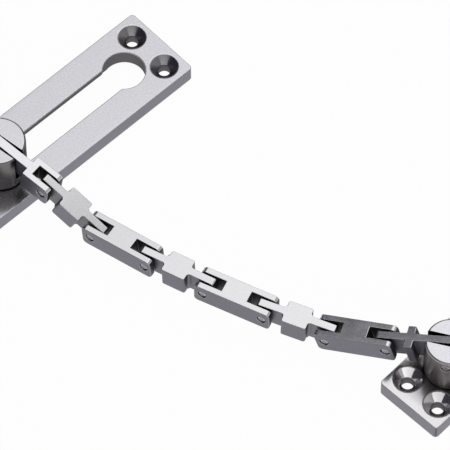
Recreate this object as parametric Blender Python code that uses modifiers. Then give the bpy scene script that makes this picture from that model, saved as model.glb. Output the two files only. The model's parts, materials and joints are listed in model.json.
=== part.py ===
"""Door chain guard: a keyhole plate, a sliding swivel knob, a chain of pinned links and a swivel anchor.

The back faces of both plates lie in the plane z = 0. The origin is on the back of the keyhole plate,
midway between the two screw holes at its keyhole end. The slot runs along X, and +Z is away from the door.
"""

import math

import bmesh
import bpy
from mathutils import Matrix, Vector

MM = 0.001

# Keyhole plate
PLATE_LENGTH = 100.0 * MM
PLATE_WIDTH = 30.0 * MM
PLATE_THICKNESS = 6.5 * MM
PLATE_CORNER = 1.4 * MM
KEYHOLE_DIAMETER = 14.6 * MM
KEYHOLE_TO_SCREWS = 11.0 * MM
SLOT_WIDTH = 9.9 * MM
SLOT_END_TO_SCREWS = 12.6 * MM
LIP_THICKNESS = 2.7 * MM
UNDERCUT_INSET = 0.15 * MM
SCREW_SPACING = 16.0 * MM
SCREW_EDGE = 6.7 * MM

# Countersunk screw holes of both plates
SCREW_HOLE_DIAMETER = 4.2 * MM
COUNTERSINK_DIAMETER = 9.7 * MM
COUNTERSINK_ANGLE = math.radians(90.0)

# Knob and its foot in the slot
KNOB_DIAMETER = 18.6 * MM
KNOB_FROM_SLOT_END = 7.0 * MM
KNOB_LIFT = 0.5 * MM
KNOB_PLAY = 0.45 * MM
FLANGE_THICKNESS = 2.6 * MM
FLANGE_CLEARANCE = 0.3 * MM
NECK_CLEARANCE = 0.25 * MM
RUNNING_GAP = 0.3 * MM

# Pins
PIN_HEIGHT = 13.0 * MM
PIN_BELOW_TOP = 3.7 * MM
DEEPEST_DIP = math.radians(22.0)
DIP_CLEARANCE = 0.4 * MM
PIN_DIAMETER = 3.0 * MM
PIN_RECESS = 0.4 * MM
PIN_CHAMFER = 0.3 * MM
PIN_SEAT_CLEARANCE = 0.1 * MM
PIN_LOOSE_CLEARANCE = 0.35 * MM

# Chain links
LINK_PITCH = 21.4 * MM
LINK_HEIGHT = 9.0 * MM
LINK_WIDTH = 8.1 * MM
TONGUE_WIDTH = 2.7 * MM
TONGUE_TIP = 3.0 * MM
TONGUE_ROUND = 0.8 * MM
FORK_PLAY = 0.6 * MM
FORK_END = 2.9 * MM
FORK_ROUND = 1.6 * MM
FORK_SWING_GAP = 1.0 * MM
BLOCK_SWING_GAP = 1.64 * MM
FIRST_TONGUE_WIDTH = 3.2 * MM
FIRST_FORK_SWING_GAP = 0.4 * MM
FIRST_WEB = 2.7 * MM
COLLAR_SWING_GAP = 2.24 * MM
COLLAR_LENGTH = 2.8 * MM

# Anchor
ANCHOR_LENGTH = 40.0 * MM
ANCHOR_WIDTH = 25.0 * MM
ANCHOR_THICKNESS = 6.5 * MM
ANCHOR_SCREW_SPACING = 13.2 * MM
ANCHOR_SCREW_EDGE = 7.2 * MM
POST_DIAMETER = 17.2 * MM
SPIGOT_DIAMETER = 9.0 * MM
SPIGOT_CLEARANCE = 0.2 * MM
COUNTERBORE_DIAMETER = 14.0 * MM
COUNTERBORE_DEPTH = 3.4 * MM

# Assembly screws
SHANK_DIAMETER = 5.0 * MM
SHANK_CLEARANCE = 0.15 * MM
KNOB_GRIP = 2.4 * MM
POST_GRIP = 5.0 * MM
SCREW_BOTTOM_GAP = 0.5 * MM
FLAT_HEAD_DIAMETER = 8.6 * MM
PAN_HEAD_DIAMETER = 12.0 * MM
PAN_HEAD_HEIGHT = 2.4 * MM
PAN_HEAD_CHAMFER = 0.5 * MM
SOCKET_ACROSS = 3.0 * MM
SOCKET_DEPTH = 1.4 * MM
TOP_ROUND = 0.8 * MM

# How the chain lies at rest: its heading from the knob, then each link's turns from the link before it
CHAIN_HEADING = math.radians(-81.65)
REST_DIPS = [math.radians(a) for a in (9.0, 14.1, -25.6, 1.9, 1.7, 1.2, -17.0)]
REST_SIDE_PLAY = [math.radians(a) for a in (0.0, 2.1, 3.3, 4.6, 3.1, 4.2, 2.7, 4.4)]
ANCHOR_TURN = math.radians(3.0)

# Sizes that follow from those above
PIN_RADIUS = PIN_DIAMETER / 2
SEAT_RADIUS = PIN_RADIUS + PIN_SEAT_CLEARANCE
LOOSE_RADIUS = PIN_RADIUS + PIN_LOOSE_CLEARANCE
FORK_GAP = TONGUE_WIDTH + 2 * FORK_PLAY
PIN_Z = PLATE_THICKNESS + PIN_HEIGHT
ANCHOR_PIN_Z = ANCHOR_THICKNESS + PIN_HEIGHT
KEYHOLE_X = -KEYHOLE_TO_SCREWS
FAR_SCREWS_X = 2 * SCREW_EDGE - PLATE_LENGTH
SLOT_END_X = FAR_SCREWS_X + SLOT_END_TO_SCREWS
KNOB_X = SLOT_END_X + KNOB_FROM_SLOT_END
UNDERCUT_RADIUS = KEYHOLE_DIAMETER / 2 - UNDERCUT_INSET
SHANK_RADIUS = SHANK_DIAMETER / 2
SHANK_HOLE_RADIUS = SHANK_RADIUS + SHANK_CLEARANCE


def swing_radius(end, corner):
    """How far a link end of full height reaches from its pin, with its corners rounded."""
    return math.hypot(end - corner, LINK_HEIGHT / 2 - corner) + corner


TONGUE_SWING = swing_radius(TONGUE_TIP, TONGUE_ROUND)
FORK_SWING = swing_radius(FORK_END, FORK_ROUND)
FORK_SLOT = TONGUE_SWING + FORK_SWING_GAP
FIRST_FORK_SLOT = TONGUE_SWING + FIRST_FORK_SWING_GAP

ROUND_STEPS = 20
BIG_STEPS = 48
CORNER_STEPS = 5
OVERCUT = 1.0 * MM
MERGE = 1e-6
FLAT = math.radians(0.5)


def clear_scene():
    for obj in list(bpy.data.objects):
        bpy.data.objects.remove(obj, do_unlink=True)


def new_collection(name):
    collection = bpy.data.collections.new(name)
    bpy.context.scene.collection.children.link(collection)
    return collection


def steel(name, shade, roughness):
    material = bpy.data.materials.new(name)
    material.use_nodes = True
    shader = material.node_tree.nodes["Principled BSDF"]
    shader.inputs["Base Color"].default_value = (shade, shade, shade * 1.02, 1.0)
    shader.inputs["Metallic"].default_value = 1.0
    shader.inputs["Roughness"].default_value = roughness
    return material


clear_scene()
PARTS = new_collection("door_chain_guard")
CUTTERS = new_collection("cutters")
PLATE_STEEL = steel("plate_steel", 0.62, 0.36)
KNOB_STEEL = steel("knob_steel", 0.66, 0.30)
LINK_STEEL = steel("link_steel", 0.60, 0.34)
PIN_STEEL = steel("pin_steel", 0.50, 0.30)
SCREW_STEEL = steel("screw_steel", 0.45, 0.35)


def arc(x, y, radius, start, stop, steps):
    turns = [start + (stop - start) * i / steps for i in range(steps + 1)]
    return [(x + radius * math.cos(t), y + radius * math.sin(t)) for t in turns]


def circle(x, y, radius, steps=ROUND_STEPS):
    return arc(x, y, radius, 0.0, math.tau, steps)[:-1]


def rounded_rectangle(x_low, x_high, y_low, y_high, radius):
    corners = [
        (x_high - radius, y_high - radius, 0.0),
        (x_low + radius, y_high - radius, math.pi / 2),
        (x_low + radius, y_low + radius, math.pi),
        (x_high - radius, y_low + radius, 3 * math.pi / 2),
    ]
    points = []
    for x, y, start in corners:
        points += arc(x, y, radius, start, start + math.pi / 2, CORNER_STEPS)
    return points


def place(obj, collection, material=None, smooth=False):
    collection.objects.link(obj)
    if material:
        obj.data.materials.append(material)
    if smooth:
        obj.data.shade_smooth()
        obj.data.set_sharp_from_angle(angle=math.radians(35.0))
    if collection is CUTTERS:
        obj.hide_render = True
        obj.display_type = "WIRE"
    return obj


def outline_mesh(name, loops, depth, upright=False):
    """A flat outline, with any holes as further loops, given a thickness centred on its plane.

    An upright one stands in the XZ plane, so its thickness runs along Y.
    """
    curve = bpy.data.curves.new(name, "CURVE")
    curve.dimensions = "2D"
    curve.fill_mode = "BOTH"
    curve.extrude = depth / 2
    for loop in loops:
        spline = curve.splines.new("POLY")
        spline.points.add(len(loop) - 1)
        for point, (x, y) in zip(spline.points, loop):
            point.co = (x, y, 0.0, 1.0)
        spline.use_cyclic_u = True
    flat = bpy.data.objects.new(name + "_outline", curve)
    bpy.context.scene.collection.objects.link(flat)
    graph = bpy.context.evaluated_depsgraph_get()
    mesh = bpy.data.meshes.new_from_object(flat.evaluated_get(graph))
    bpy.data.objects.remove(flat, do_unlink=True)
    shape = bmesh.new()
    shape.from_mesh(mesh)
    bmesh.ops.remove_doubles(shape, verts=shape.verts, dist=MERGE)
    bmesh.ops.dissolve_limit(shape, angle_limit=FLAT, verts=shape.verts, edges=shape.edges)
    if upright:
        bmesh.ops.transform(shape, matrix=Matrix.Rotation(math.pi / 2, 4, "X"), verts=shape.verts)
    bmesh.ops.recalc_face_normals(shape, faces=shape.faces)
    shape.to_mesh(mesh)
    shape.free()
    mesh.name = name
    return mesh


def turned(name, profile, collection, material=None, closed=False, steps=BIG_STEPS):
    """A solid of revolution about Z. The profile of (radius, height) runs down its outer side."""
    shape = bmesh.new()
    points = [shape.verts.new((radius, 0.0, height)) for radius, height in profile]
    for first, second in zip(points, points[1:]):
        shape.edges.new((first, second))
    if closed:
        shape.edges.new((points[-1], points[0]))
    mesh = bpy.data.meshes.new(name)
    shape.to_mesh(mesh)
    shape.free()
    obj = place(bpy.data.objects.new(name, mesh), collection, material)
    spin = obj.modifiers.new("turn", "SCREW")
    spin.axis = "Z"
    spin.steps = steps
    spin.render_steps = steps
    spin.use_merge_vertices = True
    spin.merge_threshold = MERGE
    return obj


def rod(name, radius, low, high, collection, material=None, chamfer=0.0, steps=ROUND_STEPS):
    """A round bar along Z, with chamfered ends where a chamfer is given."""
    if chamfer:
        profile = [(0.0, high), (radius - chamfer, high), (radius, high - chamfer)]
        profile += [(radius, low + chamfer), (radius - chamfer, low), (0.0, low)]
    else:
        profile = [(0.0, high), (radius, high), (radius, low), (0.0, low)]
    return turned(name, profile, collection, material, steps=steps)


def boxes(name, corners):
    """One cutter made of separate boxes, each given by its low and high corners."""
    shape = bmesh.new()
    for low, high in corners:
        low, high = Vector(low), Vector(high)
        matrix = Matrix.Translation((low + high) / 2) @ Matrix.Diagonal((high - low).to_4d())
        bmesh.ops.create_cube(shape, size=1.0, matrix=matrix)
    mesh = bpy.data.meshes.new(name)
    shape.to_mesh(mesh)
    shape.free()
    return place(bpy.data.objects.new(name, mesh), CUTTERS)


def cut(target, cutter):
    """Takes the cutter's shape, which is in the target's own frame, out of the target."""
    cutter.parent = target
    boolean = target.modifiers.new(cutter.name, "BOOLEAN")
    boolean.operation = "DIFFERENCE"
    boolean.solver = "EXACT"
    boolean.object = cutter


def stadium(radius, x_low, x_high):
    points = arc(x_high, 0.0, radius, -math.pi / 2, math.pi / 2, BIG_STEPS // 2)
    return points + arc(x_low, 0.0, radius, math.pi / 2, 3 * math.pi / 2, BIG_STEPS // 2)


def keyhole():
    """The keyhole's round mouth and the slot that runs from it to a round closed end."""
    mouth, half = KEYHOLE_DIAMETER / 2, SLOT_WIDTH / 2
    neck = math.pi - math.asin(half / mouth)
    points = arc(KEYHOLE_X, 0.0, mouth, -neck, neck, BIG_STEPS)
    return points + arc(SLOT_END_X, 0.0, half, math.pi / 2, 3 * math.pi / 2, BIG_STEPS // 2)


def cut_screw_holes(plate, places, thickness):
    """Countersunk screw holes through the plate from its front."""
    rim, hole = COUNTERSINK_DIAMETER / 2, SCREW_HOLE_DIAMETER / 2
    slope = math.tan(COUNTERSINK_ANGLE / 2)
    top = thickness + OVERCUT
    profile = [(0.0, top), (rim + OVERCUT * slope, top), (hole, thickness - (rim - hole) / slope)]
    profile += [(hole, -OVERCUT), (0.0, -OVERCUT)]
    for number, (x, y) in enumerate(places, 1):
        drill = turned(f"{plate.name}_screw_hole_{number}", profile, CUTTERS, steps=BIG_STEPS // 2)
        drill.location = (x, y, 0.0)
        cut(plate, drill)


def flat_plate(name, outline, thickness, screw_places):
    """A plate standing on z = 0, cut from an outline, with countersunk screw holes."""
    mesh = outline_mesh(name, [outline], thickness)
    mesh.transform(Matrix.Translation((0.0, 0.0, thickness / 2)))
    plate = place(bpy.data.objects.new(name, mesh), PARTS, PLATE_STEEL, smooth=True)
    cut_screw_holes(plate, screw_places, thickness)
    return plate


def cut_outline(plate, name, outline, high):
    """Cuts an outline out of the plate, from below its back up to the given height."""
    mesh = outline_mesh(name, [outline], high + OVERCUT)
    mesh.transform(Matrix.Translation((0.0, 0.0, (high - OVERCUT) / 2)))
    cut(plate, place(bpy.data.objects.new(name, mesh), CUTTERS))


def keyhole_plate():
    half_width, half_spacing = PLATE_WIDTH / 2, SCREW_SPACING / 2
    outline = rounded_rectangle(SCREW_EDGE - PLATE_LENGTH, SCREW_EDGE, -half_width, half_width, PLATE_CORNER)
    screws = [(x, y) for x in (0.0, FAR_SCREWS_X) for y in (half_spacing, -half_spacing)]
    plate = flat_plate("keyhole_plate", outline, PLATE_THICKNESS, screws)
    cut_outline(plate, "keyhole", keyhole(), PLATE_THICKNESS + OVERCUT)
    channel = stadium(UNDERCUT_RADIUS, SLOT_END_X, KEYHOLE_X)
    cut_outline(plate, "undercut", channel, PLATE_THICKNESS - LIP_THICKNESS)


def socket(target, bottom):
    """A hexagon socket cut upwards into a screw head whose underside is at the given height."""
    radius = SOCKET_ACROSS / math.sqrt(3.0)
    drive = rod(target.name + "_socket", radius, bottom - OVERCUT, bottom + SOCKET_DEPTH, CUTTERS, steps=6)
    cut(target, drive)


def clevis(name, radius, low, slot_width, grip, spigot=None):
    """A round slotted head that holds a pin across its slot. Its slot runs along its own X axis.

    Its own origin is on the pin's axis, and its slot is deep enough for a link that dips to its rim.
    The grip is how far a screw enters it from below. A spigot is given by its radius and its bottom height.
    """
    dip_depth = radius * math.tan(DEEPEST_DIP) + LINK_HEIGHT / 2 / math.cos(DEEPEST_DIP)
    top, floor = PIN_BELOW_TOP, -dip_depth - DIP_CLEARANCE
    profile = [(0.0, top)]
    profile += arc(radius - TOP_ROUND, top - TOP_ROUND, TOP_ROUND, math.pi / 2, 0.0, CORNER_STEPS)
    profile.append((radius, low))
    end = low
    if spigot:
        end = spigot[1]
        profile += [(spigot[0], low), (spigot[0], end)]
    profile.append((0.0, end))
    head = turned(name, profile, PARTS, KNOB_STEEL)
    across = radius + OVERCUT
    half = slot_width / 2
    cut(head, boxes(name + "_slot", [((-across, -half, floor), (across, half, top + OVERCUT))]))
    bore = rod(name + "_pin_bore", SEAT_RADIUS, -across, across, CUTTERS)
    bore.rotation_euler = (math.pi / 2, 0.0, 0.0)
    cut(head, bore)
    hole_top = end + grip + SCREW_BOTTOM_GAP
    cut(head, rod(name + "_screw_hole", SHANK_HOLE_RADIUS, end - OVERCUT, hole_top, CUTTERS))
    return head


def head_pin(name, head, radius):
    """The pin across a slotted head, as long as the head's chord allows at the pin's top and bottom."""
    half = math.sqrt(radius**2 - PIN_RADIUS**2) - PIN_RECESS
    pin = rod(name, PIN_RADIUS, -half, half, PARTS, PIN_STEEL, PIN_CHAMFER)
    pin.parent = head
    pin.rotation_euler = (math.pi / 2, 0.0, 0.0)


def slider_foot():
    """The flange that is trapped under the lips and the neck that runs between them."""
    top = PLATE_THICKNESS + KNOB_LIFT - RUNNING_GAP
    shoulder = PLATE_THICKNESS - LIP_THICKNESS - RUNNING_GAP
    bottom = shoulder - FLANGE_THICKNESS
    flange = UNDERCUT_RADIUS - FLANGE_CLEARANCE
    neck = SLOT_WIDTH / 2 - NECK_CLEARANCE
    head = FLAT_HEAD_DIAMETER / 2 + SHANK_CLEARANCE
    cone_top = bottom + head - SHANK_HOLE_RADIUS
    profile = [(SHANK_HOLE_RADIUS, top), (neck, top), (neck, shoulder), (flange, shoulder)]
    profile += [(flange, bottom), (head, bottom), (SHANK_HOLE_RADIUS, cone_top)]
    foot = turned("slider_foot", profile, PARTS, PLATE_STEEL, closed=True)
    foot.location = (KNOB_X, 0.0, 0.0)
    return bottom


def knob(foot_bottom):
    """The slotted knob, its pin and the countersunk screw that holds it to the foot."""
    low = PLATE_THICKNESS + KNOB_LIFT
    frame = Matrix.Translation((KNOB_X, 0.0, PIN_Z)) @ Matrix.Rotation(CHAIN_HEADING, 4, "Z")
    slot_width = FIRST_TONGUE_WIDTH + 2 * KNOB_PLAY
    head = clevis("knob_head", KNOB_DIAMETER / 2, low - PIN_Z, slot_width, KNOB_GRIP)
    head.matrix_world = frame
    head_pin("knob_pin", head, KNOB_DIAMETER / 2)
    rim = FLAT_HEAD_DIAMETER / 2
    base = foot_bottom + SHANK_CLEARANCE
    tip = low + KNOB_GRIP
    profile = [(0.0, tip), (SHANK_RADIUS - PIN_CHAMFER, tip), (SHANK_RADIUS, tip - PIN_CHAMFER)]
    profile += [(SHANK_RADIUS, base + rim - SHANK_RADIUS), (rim, base), (0.0, base)]
    screw = turned("knob_screw", profile, PARTS, SCREW_STEEL, steps=BIG_STEPS // 2)
    socket(screw, base)
    screw.location = (KNOB_X, 0.0, 0.0)
    return frame


def link_bar(name, end_low, end_high, corner, holes):
    """A bar of full width and height from the first pin at x = 0, with pin holes at (x, radius)."""
    half = LINK_HEIGHT / 2
    loops = [rounded_rectangle(-end_low, LINK_PITCH + end_high, -half, half, corner)]
    loops += [circle(x, 0.0, radius) for x, radius in holes]
    mesh = outline_mesh(name, loops, LINK_WIDTH, upright=True)
    return place(bpy.data.objects.new(name, mesh), PARTS, LINK_STEEL, smooth=True)


def fork_slot(x_low, x_high):
    half, tall = FORK_GAP / 2, LINK_HEIGHT / 2 + OVERCUT
    return (x_low, -half, -tall), (x_high, half, tall)


def cheeks(x_low, x_high, tongue_width):
    """The two boxes that leave a tongue between them."""
    inner, outer, tall = tongue_width / 2, LINK_WIDTH / 2 + OVERCUT, LINK_HEIGHT / 2 + OVERCUT
    return [
        ((x_low, inner, -tall), (x_high, outer, tall)),
        ((x_low, -outer, -tall), (x_high, -inner, tall)),
    ]


def first_link():
    """A tongue in the knob and a fork for the next link."""
    holes = [(0.0, LOOSE_RADIUS), (LINK_PITCH, SEAT_RADIUS)]
    link = link_bar("first_link", TONGUE_TIP, FORK_END, TONGUE_ROUND, holes)
    slot_x = LINK_PITCH - FIRST_FORK_SLOT
    boxes_out = cheeks(-TONGUE_TIP - OVERCUT, slot_x - FIRST_WEB, FIRST_TONGUE_WIDTH)
    boxes_out.append(fork_slot(slot_x, LINK_PITCH + FORK_END + OVERCUT))
    cut(link, boxes("first_link_cuts", boxes_out))
    round_ends(link, [LINK_PITCH])
    return link


def fork_link(name):
    """A fork at both ends, joined by a web."""
    holes = [(0.0, SEAT_RADIUS), (LINK_PITCH, SEAT_RADIUS)]
    link = link_bar(name, FORK_END, FORK_END, FORK_ROUND, holes)
    slots = [
        fork_slot(-FORK_END - OVERCUT, FORK_SLOT),
        fork_slot(LINK_PITCH - FORK_SLOT, LINK_PITCH + FORK_END + OVERCUT),
    ]
    cut(link, boxes(name + "_cuts", slots))
    return link


def tongue_link(name, block_low, block_high):
    """A tongue at both ends of a block of full width."""
    holes = [(0.0, LOOSE_RADIUS), (LINK_PITCH, LOOSE_RADIUS)]
    link = link_bar(name, TONGUE_TIP, TONGUE_TIP, TONGUE_ROUND, holes)
    sides = cheeks(-TONGUE_TIP - OVERCUT, block_low, TONGUE_WIDTH)
    sides += cheeks(block_high, LINK_PITCH + TONGUE_TIP + OVERCUT, TONGUE_WIDTH)
    cut(link, boxes(name + "_cuts", sides))
    return link


def round_ends(link, pins):
    """Rounds a fork's end corners beyond each given pin, as the double forks have."""
    half = LINK_HEIGHT / 2
    for x in pins:
        low = x + FORK_END - FORK_ROUND
        high = x + FORK_END + OVERCUT
        tall = half + OVERCUT
        upper = [(low, half), (low, tall), (high, tall), (high, half - FORK_ROUND)]
        upper += arc(low, half - FORK_ROUND, FORK_ROUND, 0.0, math.pi / 2, CORNER_STEPS)[:-1]
        lower = [(px, -pz) for px, pz in reversed(upper)]
        for side, loop in (("top", upper), ("bottom", lower)):
            cutter_name = f"{link.name}_end_{side}"
            mesh = outline_mesh(cutter_name, [loop], LINK_WIDTH + 2 * OVERCUT, upright=True)
            cut(link, place(bpy.data.objects.new(cutter_name, mesh), CUTTERS))


def link_pin(name, link, x):
    half = LINK_WIDTH / 2 - PIN_RECESS
    pin = rod(name, PIN_RADIUS, -half, half, PARTS, PIN_STEEL, PIN_CHAMFER)
    pin.parent = link
    pin.location = (x, 0.0, 0.0)
    pin.rotation_euler = (math.pi / 2, 0.0, 0.0)


def rest_frames(start):
    """Each link's frame at its first pin, walking from the knob, and the frame of the anchor's post.

    The last link dips by what brings its far pin to the height of the anchor's pin.
    """
    frames = []
    frame = start.copy()
    for number, side in enumerate(REST_SIDE_PLAY):
        frame = frame @ Matrix.Rotation(side, 4, "Z")
        if number < len(REST_DIPS):
            dip = REST_DIPS[number]
        else:
            rise = (ANCHOR_PIN_Z - frame.translation.z) / LINK_PITCH
            along, upright = frame[2][0], frame[2][2]
            dip = math.atan2(along, upright) - math.asin(rise / math.hypot(along, upright))
        frame = frame @ Matrix.Rotation(dip, 4, "Y")
        frames.append(frame)
        frame = frame @ Matrix.Translation((LINK_PITCH, 0.0, 0.0))
    heading = math.atan2(frame[1][0], frame[0][0])
    post = Matrix.Translation(frame.translation) @ Matrix.Rotation(heading, 4, "Z")
    return frames, post


def chain(start):
    """The links from the knob to the anchor, with a pin in each fork."""
    frames, post = rest_frames(start)
    block = FORK_SWING + BLOCK_SWING_GAP
    links = [first_link()]
    for number in (1, 2, 3):
        links.append(tongue_link(f"cross_link_{number}", block, LINK_PITCH - block))
        links.append(fork_link(f"fork_link_{number}"))
    collar = FORK_SWING + COLLAR_SWING_GAP
    links.append(tongue_link("end_link", collar, collar + COLLAR_LENGTH))
    for link, frame in zip(links, frames):
        link.matrix_world = frame
    link_pin("link_pin_1", links[0], LINK_PITCH)
    for number in (1, 2, 3):
        link_pin(f"link_pin_{2 * number}", links[2 * number], 0.0)
        link_pin(f"link_pin_{2 * number + 1}", links[2 * number], LINK_PITCH)
    return post


def anchor(post_frame):
    """The slotted post with its pin, the plate it turns in and the screw that holds it from behind."""
    radius = POST_DIAMETER / 2
    spigot_end = COUNTERBORE_DEPTH - RUNNING_GAP
    spigot = (SPIGOT_DIAMETER / 2, spigot_end - ANCHOR_PIN_Z)
    post = clevis("anchor_post", radius, RUNNING_GAP - PIN_HEIGHT, FORK_GAP, POST_GRIP, spigot)
    post.matrix_world = post_frame
    head_pin("anchor_pin", post, radius)
    ground = Matrix.Translation((post_frame.translation.x, post_frame.translation.y, 0.0))

    head_top = spigot_end - RUNNING_GAP
    head_low = head_top - PAN_HEAD_HEIGHT
    rim, tip = PAN_HEAD_DIAMETER / 2, spigot_end + POST_GRIP
    profile = [(0.0, tip), (SHANK_RADIUS - PIN_CHAMFER, tip), (SHANK_RADIUS, tip - PIN_CHAMFER)]
    profile += [(SHANK_RADIUS, head_top), (rim, head_top), (rim, head_low + PAN_HEAD_CHAMFER)]
    profile += [(rim - PAN_HEAD_CHAMFER, head_low), (0.0, head_low)]
    screw = turned("anchor_screw", profile, PARTS, SCREW_STEEL, steps=BIG_STEPS // 2)
    socket(screw, head_low)
    screw.matrix_world = ground

    half_length, half_width = ANCHOR_LENGTH / 2, ANCHOR_WIDTH / 2
    outline = rounded_rectangle(-half_length, half_length, -half_width, half_width, PLATE_CORNER)
    screw_x, screw_y = half_length - ANCHOR_SCREW_EDGE, ANCHOR_SCREW_SPACING / 2
    screws = [(x, y) for x in (-screw_x, screw_x) for y in (-screw_y, screw_y)]
    plate = flat_plate("anchor_plate", outline, ANCHOR_THICKNESS, screws)
    hole, recess = spigot[0] + SPIGOT_CLEARANCE, COUNTERBORE_DIAMETER / 2
    top = ANCHOR_THICKNESS + OVERCUT
    profile = [(0.0, top), (hole, top), (hole, COUNTERBORE_DEPTH), (recess, COUNTERBORE_DEPTH)]
    profile += [(recess, -OVERCUT), (0.0, -OVERCUT)]
    cut(plate, turned("anchor_plate_post_hole", profile, CUTTERS))
    plate.matrix_world = ground @ Matrix.Rotation(ANCHOR_TURN, 4, "Z")


keyhole_plate()
knob_frame = knob(slider_foot())
anchor(chain(knob_frame))
bpy.context.view_layer.update()
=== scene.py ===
"""Looks of a satin steel door chain guard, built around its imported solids."""

import json
import math

import bmesh
import bpy
from mathutils import Matrix, Vector


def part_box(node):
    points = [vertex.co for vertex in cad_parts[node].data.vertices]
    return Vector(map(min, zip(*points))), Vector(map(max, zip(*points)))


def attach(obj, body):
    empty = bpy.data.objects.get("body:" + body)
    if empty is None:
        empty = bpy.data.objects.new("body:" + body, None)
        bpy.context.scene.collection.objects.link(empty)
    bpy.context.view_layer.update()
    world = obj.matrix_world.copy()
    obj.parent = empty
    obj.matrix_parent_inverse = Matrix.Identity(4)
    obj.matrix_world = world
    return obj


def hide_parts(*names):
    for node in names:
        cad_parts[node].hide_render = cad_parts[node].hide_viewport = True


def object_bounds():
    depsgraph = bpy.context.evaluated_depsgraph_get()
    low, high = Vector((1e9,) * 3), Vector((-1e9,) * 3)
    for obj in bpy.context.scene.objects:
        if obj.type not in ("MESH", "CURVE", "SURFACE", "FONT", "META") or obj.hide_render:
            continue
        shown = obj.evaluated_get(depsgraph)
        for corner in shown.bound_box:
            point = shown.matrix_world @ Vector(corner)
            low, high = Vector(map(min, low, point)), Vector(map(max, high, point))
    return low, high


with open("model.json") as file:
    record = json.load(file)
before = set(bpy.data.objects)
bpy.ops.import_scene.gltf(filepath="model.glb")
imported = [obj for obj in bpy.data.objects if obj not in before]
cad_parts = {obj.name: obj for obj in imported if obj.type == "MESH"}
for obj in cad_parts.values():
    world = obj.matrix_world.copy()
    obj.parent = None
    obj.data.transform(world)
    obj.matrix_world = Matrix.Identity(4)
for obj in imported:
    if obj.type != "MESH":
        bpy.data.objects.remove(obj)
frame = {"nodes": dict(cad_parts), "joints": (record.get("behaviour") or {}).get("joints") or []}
cad_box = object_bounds()

MM = 0.001
UP = Vector((0.0, 0.0, 1.0))

# The chain in order from the knob: its pins, the hinge at each pin, and the links between them
PIN_NUMBERS = range(1, 8)
LINK_NUMBERS = range(1, 4)
PINS = ["knob_pin"] + [f"link_pin_{n}" for n in PIN_NUMBERS] + ["anchor_pin"]
HINGES = ["knob_pin_hinge"] + [f"link_hinge_{n}" for n in PIN_NUMBERS] + ["anchor_pin_hinge"]
CROSS_LINKS = [f"cross_link_{n}" for n in LINK_NUMBERS]
FORK_LINKS = [f"fork_link_{n}" for n in LINK_NUMBERS]
LINKS = ["first_link"]
for cross_link, fork_link in zip(CROSS_LINKS, FORK_LINKS):
    LINKS += [cross_link, fork_link]
LINKS.append("end_link")

# Edges and corners: how they are found, and how far they are rounded
MERGE = 1e-6
FLAT = math.radians(1.0)
SHARP = math.radians(28.0)
UPRIGHT = 0.99
EDGE_SEGMENTS = 2
PLATE_EDGE = 0.30 * MM
KNOB_EDGE = 0.15 * MM
LINK_EDGE = 0.22 * MM
PIN_EDGE = 0.12 * MM
PIN_DOME = 0.35 * MM
PIN_RISE = 0.05 * MM
CLEVIS_PIN_RISE = 0.30 * MM
PIN_SEGMENTS = 4
SCREW_ROOM = 0.985
BLOCK_SIDE = 3.0 * MM
BLOCK_CORNER = 0.7 * MM
COLLAR_CORNER = 0.35 * MM
FILLET = 0.8 * MM
CORNER_SEGMENTS = 4

# Where one finish ends and the next begins, in a piece's own frame
UPWARD = 0.25
PLATE_LEVEL = 0.9
CLEVIS_LEVEL = 0.93
FACING = 0.6
OUTER_SKIN = 0.4 * MM
CLEVIS_TOP = 1.0 * MM
CLEVIS_SLOT = 2.3 * MM
# Height of the painted shadow line at the foot of the knob and post
PAINTED_FOOT_SHADOW_BAND = 0.35 * MM
NECK_SIDE = 2.1 * MM
PIN_HOLE = 1.75 * MM

# Grain of the steel, with its size along each of a piece's own axes
SPECK_SIZE = (0.65 * MM, 0.65 * MM, 0.65 * MM)
STREAK_SIZE = (6.0 * MM, 0.22 * MM, 0.22 * MM)
PATCH_SIZE = (7.0 * MM, 5.0 * MM, 5.0 * MM)
SCUFF_SIZE = (1.6 * MM, 1.6 * MM, 1.6 * MM)
GRAIN_DETAIL = 3.0
STREAK_DETAIL = 2.0
GRAIN_ROUGHNESS = 0.6
GRAIN_MIDDLE = 0.5

# How the grain shows: in the colour, the gloss and the relief
TONE_GAIN = 5.0
TONE_DARK = 0.8
TONE_LIGHT = 1.2
RUBBED_COLOUR = (0.86, 0.85, 0.86)
RUBBED_LEAST = 0.35
PATCH_GLOSS = 0.12
SPECK_GLOSS = 0.10
RUBBED_GLOSS = 0.08
SPECK_RELIEF = 0.6
STREAK_RELIEF = 0.4
RELIEF_DEPTH = 0.02 * MM

# The painted shade round the foot of the post, standing for its shadow and reflection on the plate, from
# where it is full to where it ends
PAINTED_POST_SHADE_FROM = 8.6 * MM
PAINTED_POST_SHADE_TO = 18.0 * MM
PAINTED_POST_SHADE_COLOUR = (0.085, 0.072, 0.072)
PAINTED_POST_SHADE_LEAST = 0.7
PAINTED_POST_SHADE_PATCHES = 0.6
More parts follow.
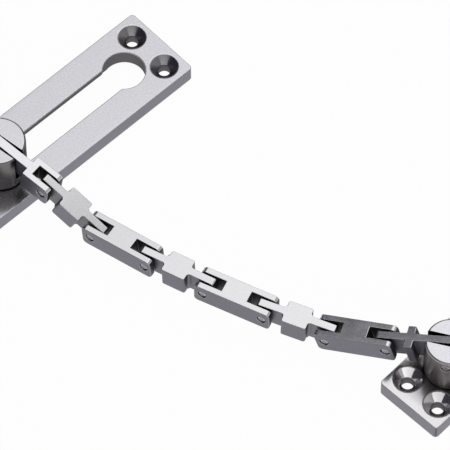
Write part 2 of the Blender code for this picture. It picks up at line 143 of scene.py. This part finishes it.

# Each finish: its colour, its roughness, and where it differs from plain satin steel. The face finishes are
# the steel as lit from above; the flank, end, neck, pin end and keyhole countersink finishes are darker
# copies of it, painted shade for faces turned away from the light, and the painted_shade finishes are painted
# shade in slots, holes and recesses
LOOKS = {
    "plate_face": ((0.71, 0.705, 0.735), 0.24, dict(speck=0.25, streak=0.03, worn=0.08)),
    "plate_flank": ((0.215, 0.21, 0.245), 0.42, dict(speck=0.32, worn=0.2)),
    "plate_painted_shade": ((0.145, 0.138, 0.145), 0.45, dict(worn=0.1, rim=0.5)),
    "plate_countersink": ((0.31, 0.30, 0.31), 0.24, dict(streak=0.0, worn=0.05)),
    "anchor_face": (
        (0.79, 0.775, 0.785), 0.17, dict(speck=0.14, streak=0.03, tooth=0.12, worn=0.08, painted_post_shade=0.95)
    ),
    "anchor_countersink": ((0.93, 0.89, 0.89), 0.13, dict(streak=0.0, worn=0.05, painted_post_shade=0.4)),
    "knob_face": ((0.81, 0.805, 0.83), 0.30, dict(speck=0.20, worn=0.1)),
    "knob_flank": ((0.21, 0.20, 0.20), 0.26, dict(streak=0.03, worn=0.1, rim=0.25)),
    "post_flank": ((0.43, 0.41, 0.41), 0.34, dict(mottle=0.12, worn=0.1, rim=0.3)),
    "knob_painted_shade": ((0.022, 0.020, 0.021), 0.5, dict(worn=0.0, rim=0.2)),
    "link_face": ((0.79, 0.785, 0.795), 0.24, dict(speck=0.12, worn=0.1)),
    "link_flank": ((0.17, 0.165, 0.195), 0.40, dict(speck=0.30, streak=0.12, mottle=0.12, worn=0.15)),
    "link_end": ((0.17, 0.165, 0.18), 0.42, dict(worn=0.2, rim=0.5)),
    "link_neck": ((0.23, 0.225, 0.245), 0.45, dict(worn=0.1, rim=0.6)),
    "link_painted_shade": ((0.13, 0.122, 0.126), 0.5, dict(worn=0.0, rim=0.35)),
    "pin_seat": ((0.50, 0.49, 0.51), 0.30, dict(worn=0.1, rim=0.6)),
    "pin_end": ((0.24, 0.235, 0.255), 0.30, dict(worn=0.45)),
    "screw_skin": ((0.35, 0.345, 0.36), 0.35, dict(worn=0.2)),
}

# Camera
SENSOR = 36.0
LENS = 376.444
CAMERA_PLACE = (-0.574018, -0.649702, 1.337500)
CAMERA_LOOK = (0.351969, 0.375087, -0.857571)
CAMERA_REACH = 10.0

# Studio
FLOOR_SIDE = 8.0
FLOOR_GAP = 0.1 * MM
FLOOR_COLOUR = (0.9, 0.9, 0.9)
FLOOR_GLOW = 0.975
ROOM_DARK_SIDE = (0.050, 0.048, 0.066)
ROOM_LIGHT_SIDE = (0.52, 0.515, 0.53)
ROOM_LIGHT_TOWARDS = (0.64, -0.77, 0.0)
TOP_BOX_PLACE = (0.20, 0.13, 1.0)
TOP_BOX_SIDES = (1.3, 1.06)
TOP_BOX_RADIANCE = 0.87
FRONT_BOX_PLACE = (-0.95, -1.0, 0.75)
FRONT_BOX_SIDES = (2.2, 0.5)
FRONT_BOX_RADIANCE = 0.9


class Shade:
    """A socket of one node tree: arithmetic on it adds Math nodes, and node() adds any other kind."""

    # The colour sockets of a Mix node come after those for numbers and vectors
    MIX_SHARE, MIX_FIRST, MIX_SECOND, MIX_RESULT = 0, 6, 7, 2

    def __init__(self, tree, socket=None):
        self.tree = tree
        self.socket = socket

    def node(self, kind, settings=None, sockets=None, out=0):
        made = self.tree.nodes.new(kind)
        for key, value in (settings or {}).items():
            setattr(made, key, value)
        for key, value in (sockets or {}).items():
            if isinstance(value, Shade):
                self.tree.links.new(value.socket, made.inputs[key])
            else:
                made.inputs[key].default_value = value
        return Shade(self.tree, made.outputs[out])

    def math(self, operation, first, second):
        return self.node("ShaderNodeMath", {"operation": operation}, {0: first, 1: second})

    def vector_math(self, operation, sockets, out=0):
        return self.node("ShaderNodeVectorMath", {"operation": operation}, sockets, out)

    def __add__(self, other):
        return self.math("ADD", self, other)

    __radd__ = __add__

    def __mul__(self, other):
        return self.math("MULTIPLY", self, other)

    __rmul__ = __mul__

    def __sub__(self, other):
        return self.math("SUBTRACT", self, other)

    def __rsub__(self, other):
        return self.math("SUBTRACT", other, self)

    def most(self, other):
        return self.math("MAXIMUM", self, other)

    def blend(self, first, second):
        """A colour between two others, by this value."""
        settings = {"data_type": "RGBA", "clamp_factor": True}
        sockets = {self.MIX_SHARE: self, self.MIX_FIRST: first, self.MIX_SECOND: second}
        return self.node("ShaderNodeMix", settings, sockets, self.MIX_RESULT)

    def from_axis(self):
        """How far this place is from the piece's own upright axis."""
        level = self.vector_math("MULTIPLY", {0: self, 1: (1.0, 1.0, 0.0)})
        return self.vector_math("LENGTH", {0: level}, "Value")

    def grain(self, size, detail):
        """Noise with features of the given size along each of this place's axes."""
        scaled = self.vector_math("DIVIDE", {0: self, 1: size})
        sockets = {"Vector": scaled, "Scale": 1.0, "Detail": detail, "Roughness": GRAIN_ROUGHNESS}
        return self.node("ShaderNodeTexNoise", {}, sockets)


def opaque(colour, share=1.0):
    """A colour with its alpha, made lighter or darker by a share."""
    return tuple(min(1.0, part * share) for part in colour) + (1.0,)


def satin_steel(
    name, colour, roughness, speck=0.05, streak=0.05, mottle=0.06, tooth=0.25, worn=0.3, rim=1.0, painted_post_shade=0.0
):
    """Blasted and brushed steel: fine specks, faint streaks along the piece, soft patches, bright worn edges.

    Tooth is the depth of its relief. A low rim keeps a deep wall dark where it is seen at a slant, as painted
    shade, and painted_post_shade is the strength of the painted dark ring round where the post turns on its
    plate, standing for the post's shadow and reflection."""
    material = bpy.data.materials.new(name)
    material.use_nodes = True
    tree = material.node_tree
    shader = tree.nodes["Principled BSDF"]
    start = Shade(tree)
    place = start.node("ShaderNodeAttribute", {"attribute_name": "place"}, out="Vector")
    wear = start.node("ShaderNodeAttribute", {"attribute_name": "wear"}, out="Fac")
    specks = place.grain(SPECK_SIZE, GRAIN_DETAIL)
    streaks = place.grain(STREAK_SIZE, STREAK_DETAIL)
    patches = place.grain(PATCH_SIZE, GRAIN_DETAIL)
    scuffs = place.grain(SCUFF_SIZE, GRAIN_DETAIL)

    tone = GRAIN_MIDDLE
    for share, grain in ((speck, specks), (streak, streaks), (mottle, patches)):
        tone = tone + share * TONE_GAIN * (grain - GRAIN_MIDDLE)
    base = tone.blend(opaque(colour, TONE_DARK), opaque(colour, TONE_LIGHT))
    rubbed = wear * (RUBBED_LEAST + scuffs) * worn
    base = rubbed.blend(base, opaque(RUBBED_COLOUR))
    # Painted shade: the colour darkens in a ring round the post's axis, standing for the post's shadow and
    # reflection on its plate
    if painted_post_shade:
        post_shade_share = (PAINTED_POST_SHADE_TO - place.from_axis()) * (painted_post_shade / (PAINTED_POST_SHADE_TO - PAINTED_POST_SHADE_FROM))
        post_shade_share = post_shade_share * (PAINTED_POST_SHADE_LEAST + PAINTED_POST_SHADE_PATCHES * patches)
        base = post_shade_share.blend(base, opaque(PAINTED_POST_SHADE_COLOUR))
    rough = roughness + PATCH_GLOSS * (patches - GRAIN_MIDDLE) + SPECK_GLOSS * (specks - GRAIN_MIDDLE)
    rough = rough - RUBBED_GLOSS * wear
    relief = SPECK_RELIEF * specks + STREAK_RELIEF * streaks
    bump = start.node("ShaderNodeBump", {}, {"Strength": tooth, "Distance": RELIEF_DEPTH, "Height": relief})
    for key, value in (("Base Color", base), ("Roughness", rough), ("Normal", bump)):
        tree.links.new(value.socket, shader.inputs[key])
    shader.inputs["Metallic"].default_value = 1.0
    shader.inputs["Specular Tint"].default_value = (rim, rim, rim, 1.0)
    return material


FINISHES = {
    name: satin_steel(name, colour, roughness, **rest) for name, (colour, roughness, rest) in LOOKS.items()
}


def middle(node):
    """The middle of a node's box at rest."""
    low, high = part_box(node)
    return (low + high) / 2


def square_frame(origin, along, across):
    """A frame with x along the first direction, y as near the second as it can be, and z upwards."""
    x = along.normalized()
    y = (across - x * across.dot(x)).normalized()
    z = x.cross(y)
    turn = Matrix((x, y, z)).transposed().to_4x4()
    return Matrix.Translation(origin) @ turn


def pin_axes():
    """The axis of each pin in the chain, all pointing to the same side."""
    axes = {joint["name"]: Vector(joint["axis"]) for joint in frame["joints"]}
    return [axes[name] if axes[name].x > 0 else -axes[name] for name in HINGES]


def chain_frames():
    """The frame of each link, from the pins at its two ends."""
    centres = [middle(pin) for pin in PINS]
    axes = pin_axes()
    frames = {}
    for number, link in enumerate(LINKS):
        low, high = centres[number], centres[number + 1]
        frames[link] = square_frame(low, high - low, axes[number] + axes[number + 1])
    return frames


def merged_copy(node):
    """The node's shape with its triangles joined into flat faces."""
    shape = bmesh.new()
    shape.from_mesh(frame["nodes"][node].data)
    bmesh.ops.remove_doubles(shape, verts=shape.verts, dist=MERGE)
    bmesh.ops.dissolve_limit(shape, angle_limit=FLAT, verts=shape.verts, edges=shape.edges)
    return shape


def sharp_edges(shape):
    """Edges that a hand would feel, apart from the facets of round faces."""
    return [edge for edge in shape.edges if edge.is_manifold and edge.calc_face_angle() > SHARP]


def soften(shape, edges, radius, segments):
    """Rounds some edges and gives the new faces."""
    made = bmesh.ops.bevel(
        shape,
        geom=edges,
        offset=radius,
        offset_type="OFFSET",
        segments=segments,
        profile=0.5,
        affect="EDGES",
        clamp_overlap=False,
        material=-1,
    )
    return made["faces"]


def upright_edges(shape, home, convex):
    """Sharp edges along a link's height, either its outer corners or its inner ones."""
    up = home.col[2].to_3d()
    chosen = []
    for edge in sharp_edges(shape):
        line = edge.verts[1].co - edge.verts[0].co
        if abs(line.normalized().dot(up)) > UPRIGHT and edge.is_convex == convex:
            chosen.append(edge)
    return chosen


def round_corners(radius):
    """Rounds the corners of a link's block, and leaves those of its tongues."""

    def step(shape, home):
        inwards = home.inverted()
        corners = upright_edges(shape, home, True)
        corners = [edge for edge in corners if abs((inwards @ edge.verts[0].co).y) > BLOCK_SIDE]
        soften(shape, corners, radius, CORNER_SEGMENTS)

    return step


def fill_corners(radius):
    """Rounds out the inner corners between a link's block and its tongues."""

    def step(shape, home):
        soften(shape, upright_edges(shape, home, False), radius, CORNER_SEGMENTS)

    return step


def raise_ends(rise):
    """Brings a pin's ends up to just under the face around them."""

    def step(shape, home):
        inwards = home.inverted()
        axis = home.col[1].to_3d()
        for side in (-1.0, 1.0):
            end = [vertex for vertex in shape.verts if (inwards @ vertex.co).y * side > 0.0]
            bmesh.ops.translate(shape, verts=end, vec=axis * side * rise)

    return step


def slim_shank(shape, home):
    """Leaves a screw a little room to turn in its hole."""
    bmesh.ops.scale(shape, vec=(SCREW_ROOM, SCREW_ROOM, 1.0), space=home.inverted(), verts=shape.verts)


def mark_foot_shadow(shape, home):
    """Parts off the lowest band of a knob or post, for a painted shadow line."""
    height = min(vertex.co.z for vertex in shape.verts) + PAINTED_FOOT_SHADOW_BAND
    whole = shape.verts[:] + shape.edges[:] + shape.faces[:]
    bmesh.ops.bisect_plane(shape, geom=whole, plane_co=UP * height, plane_no=UP)


def plate_finish(face_name, countersink_name):
    """Rules for a flat plate: face, outer flank, countersinks, and the walls of what is cut through it; the
    flank, the walls and the keyhole plate's countersinks are painted darker as shade.
    """

    def finish(centre, normal, low, high):
        edge = min(centre.x - low.x, high.x - centre.x, centre.y - low.y, high.y - centre.y)
        if normal.z > PLATE_LEVEL and centre.z > high.z - OUTER_SKIN:
            return face_name
        if edge < OUTER_SKIN or normal.z < -FACING:
            return "plate_flank"
        if UPWARD < normal.z < PLATE_LEVEL:
            return face_name if centre.z > high.z - PLATE_EDGE else countersink_name
        # Painted shade: the walls of holes, slots and the keyhole get a darker copy of the steel
        return "plate_painted_shade"

    return finish


def clevis_finish(flank_name):
    """Rules for the slotted knob and post: bright top, painted shade in the slot and a painted shadow line at
    the foot.
    """

    def finish(centre, normal, low, high):
        if normal.z > CLEVIS_LEVEL and centre.z > high.z - CLEVIS_TOP:
            return "knob_face"
        # Painted shade: the slot's walls and floor, and the band at the foot, are painted near black
        if abs(centre.y) < CLEVIS_SLOT and (abs(normal.y) > FACING or normal.z > FACING):
            return "knob_painted_shade"
        return "knob_painted_shade" if centre.z < low.z + PAINTED_FOOT_SHADOW_BAND else flank_name

    return finish


def link_finish(centre, normal, low, high):
    """Rules for a link: bright top and bottom, with painted shade in grey flanks, darker ends and necks, and
    black slots.
    """
    pitch = high.x + low.x
    from_pin = min(math.hypot(centre.x, centre.z), math.hypot(centre.x - pitch, centre.z))
    if from_pin < PIN_HOLE and abs(normal.y) < FACING:
        return "pin_seat"
    if abs(normal.z) > FACING:
        return "link_face"
    if centre.y - low.y < OUTER_SKIN or high.y - centre.y < OUTER_SKIN:
        if abs(normal.y) > UPWARD:
            return "link_flank"
    # Painted shade: the ends, necks and inner slot walls get darker copies of the steel
    if abs(normal.x) > FACING and (centre.x < low.x + FILLET or centre.x > high.x - FILLET):
        return "link_end"
    if abs(normal.x) > FACING and abs(centre.y) > NECK_SIDE:
        return "link_neck"
    return "link_neck" if normal.y * centre.y > 0.0 else "link_painted_shade"


def all_over(name):
    """The rule for a piece of one finish."""
    return lambda centre, normal, low, high: name


def dress(node, body, home, rule, edge, shaping=(), segments=EDGE_SEGMENTS):
    """A finished copy of a node: reshaped, its edges softened, and a finish on each face by its place."""
    shape = merged_copy(node)
    place = shape.verts.layers.float_vector.new("place")
    wear = shape.faces.layers.float.new("wear")
    for step in shaping:
        step(shape, home)
    worn = soften(shape, sharp_edges(shape), edge, segments)
    for face in worn:
        face[wear] = 1.0
    inwards = home.inverted()
    spots = []
    for vertex in shape.verts:
        vertex[place] = inwards @ vertex.co
        spots.append(vertex[place].copy())
    low = Vector([min(spot[axis] for spot in spots) for axis in range(3)])
    high = Vector([max(spot[axis] for spot in spots) for axis in range(3)])
    turn = inwards.to_3x3()
    names = []
    shape.normal_update()
    for face in shape.faces:
        name = rule(inwards @ face.calc_center_median(), turn @ face.normal, low, high)
        if name not in names:
            names.append(name)
        face.material_index = names.index(name)
        face.smooth = True
    mesh = bpy.data.meshes.new(f"{node}_dressed")
    shape.to_mesh(mesh)
    shape.free()
    for name in names:
        mesh.materials.append(FINISHES[name])
    piece = bpy.data.objects.new(f"{node}_dressed", mesh)
    bpy.context.scene.collection.objects.link(piece)
    piece.modifiers.new("even_normals", "WEIGHTED_NORMAL").keep_sharp = True
    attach(piece, body)
    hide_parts(node)


def plate_home(node):
    """A plate's frame, turned along its longest edge."""
    shape = merged_copy(node)
    longest = max(sharp_edges(shape), key=lambda edge: edge.calc_length())
    along = longest.verts[1].co - longest.verts[0].co
    shape.free()
    if along.x < 0:
        along = -along
    return square_frame(middle(node), along, UP.cross(along))


def dress_plates():
    """Both plates, and the foot that slides in the first."""
    rows = (
        ("keyhole_plate", "plate_face", "plate_countersink"),
        ("anchor_plate", "anchor_face", "anchor_countersink"),
    )
    for node, face_name, countersink_name in rows:
        rule = plate_finish(face_name, countersink_name)
        dress(node, node, plate_home(node), rule, PLATE_EDGE)
    foot_home = Matrix.Translation(middle("slider_foot"))
    dress("slider_foot", "slider", foot_home, all_over("screw_skin"), KNOB_EDGE)


def dress_clevises():
    """The knob and the post, each with its pin and the screw that holds it."""
    axes = pin_axes()
    rows = (
        ("knob_head", "knob", "knob_pin", "knob_screw", axes[0], "knob_flank"),
        ("anchor_post", "anchor_post", "anchor_pin", "anchor_screw", axes[-1], "post_flank"),
    )
    for head, body, pin, screw, axis, flank_name in rows:
        home = square_frame(middle(pin), axis.cross(UP), axis)
        dress(head, body, home, clevis_finish(flank_name), KNOB_EDGE, [mark_foot_shadow])
        dress(pin, body, home, all_over(flank_name), PIN_EDGE, [raise_ends(CLEVIS_PIN_RISE)])
        dress(screw, body, home, all_over("screw_skin"), PIN_EDGE, [slim_shank])


def dress_chain():
    """The links, and the pins that their forks carry."""
    homes = chain_frames()
    for link in LINKS:
        shaping = []
        if link in CROSS_LINKS:
            shaping = [round_corners(BLOCK_CORNER), fill_corners(FILLET)]
        elif link == "end_link":
            shaping = [round_corners(COLLAR_CORNER), fill_corners(COLLAR_CORNER)]
        dress(link, link, homes[link], link_finish, LINK_EDGE, shaping)
    carriers = ["first_link"] + [link for link in FORK_LINKS for _ in range(2)]
    for pin, link in zip(PINS[1:-1], carriers):
        rule = all_over("pin_end")
        dress(pin, link, homes[link], rule, PIN_DOME, [raise_ends(PIN_RISE)], PIN_SEGMENTS)


def set_camera():
    """The photograph's view."""
    data = bpy.data.cameras.new("camera")
    data.sensor_width = SENSOR
    data.lens = LENS
    data.clip_end = CAMERA_REACH
    camera = bpy.data.objects.new("camera", data)
    camera.location = CAMERA_PLACE
    camera.rotation_euler = Vector(CAMERA_LOOK).to_track_quat("-Z", "Y").to_euler()
    bpy.context.scene.collection.objects.link(camera)
    bpy.context.scene.camera = camera


def soft_box(name, place, sides, radiance, target=None):
    """A rectangular lamp that faces a target, or else straight down."""
    data = bpy.data.lights.new(name, "AREA")
    data.shape = "RECTANGLE"
    data.size, data.size_y = sides
    data.energy = radiance * math.pi * sides[0] * sides[1]
    lamp = bpy.data.objects.new(name, data)
    lamp.location = Vector(place)
    if target is not None:
        lamp.rotation_euler = (target - lamp.location).to_track_quat("-Z", "Y").to_euler()
    bpy.context.scene.collection.objects.link(lamp)


def light_room():
    """A room that is darker to one side, for the steel to reflect."""
    world = bpy.data.worlds.new("studio_room")
    world.use_nodes = True
    tree = world.node_tree
    start = Shade(tree)
    direction = start.node("ShaderNodeTexCoord", out="Generated")
    lean = start.vector_math("DOT_PRODUCT", {0: direction, 1: ROOM_LIGHT_TOWARDS}, "Value")
    lit = 0.5 + 0.5 * lean
    room = (lit * lit).blend(opaque(ROOM_DARK_SIDE), opaque(ROOM_LIGHT_SIDE))
    tree.links.new(room.socket, tree.nodes["Background"].inputs["Color"])
    bpy.context.scene.world = world


def floor_paper():
    """White paper that the camera and the steel see as lit from within, with the object's shadow kept."""
    material = bpy.data.materials.new("floor_paper")
    material.use_nodes = True
    tree = material.node_tree
    tree.nodes.remove(tree.nodes["Principled BSDF"])
    start = Shade(tree)
    seen = start.node("ShaderNodeLightPath", out="Is Camera Ray")
    path = seen.socket.node
    for ray in ("Is Glossy Ray", "Is Transmission Ray"):
        seen = seen.most(Shade(tree, path.outputs[ray]))
    paper = start.node("ShaderNodeBsdfDiffuse", {}, {"Color": opaque(FLOOR_COLOUR)})
    glow = start.node("ShaderNodeEmission", {}, {"Color": (1.0, 1.0, 1.0, 1.0), "Strength": 1.0})
    mixed = start.node("ShaderNodeMixShader", {}, {0: seen * FLOOR_GLOW, 1: paper, 2: glow})
    tree.links.new(mixed.socket, tree.nodes["Material Output"].inputs["Surface"])
    return material


def lay_floor():
    """The floor, just under the plates."""
    shape = bmesh.new()
    bmesh.ops.create_grid(shape, x_segments=1, y_segments=1, size=FLOOR_SIDE / 2)
    bmesh.ops.translate(shape, verts=shape.verts, vec=UP * (cad_box[0][2] - FLOOR_GAP))
    mesh = bpy.data.meshes.new("studio_floor")
    shape.to_mesh(mesh)
    shape.free()
    mesh.materials.append(floor_paper())
    floor = bpy.data.objects.new("studio_floor", mesh)
    bpy.context.scene.collection.objects.link(floor)


def set_studio():
    """The room, two lamps and the floor."""
    bpy.context.scene.view_settings.view_transform = "Standard"
    light_room()
    low, high = cad_box
    centre = (Vector(low) + Vector(high)) / 2
    soft_box("top_box", TOP_BOX_PLACE, TOP_BOX_SIDES, TOP_BOX_RADIANCE)
    soft_box("front_box", FRONT_BOX_PLACE, FRONT_BOX_SIDES, FRONT_BOX_RADIANCE, centre)
    lay_floor()


set_camera()
set_studio()
dress_plates()
dress_clevises()
dress_chain()
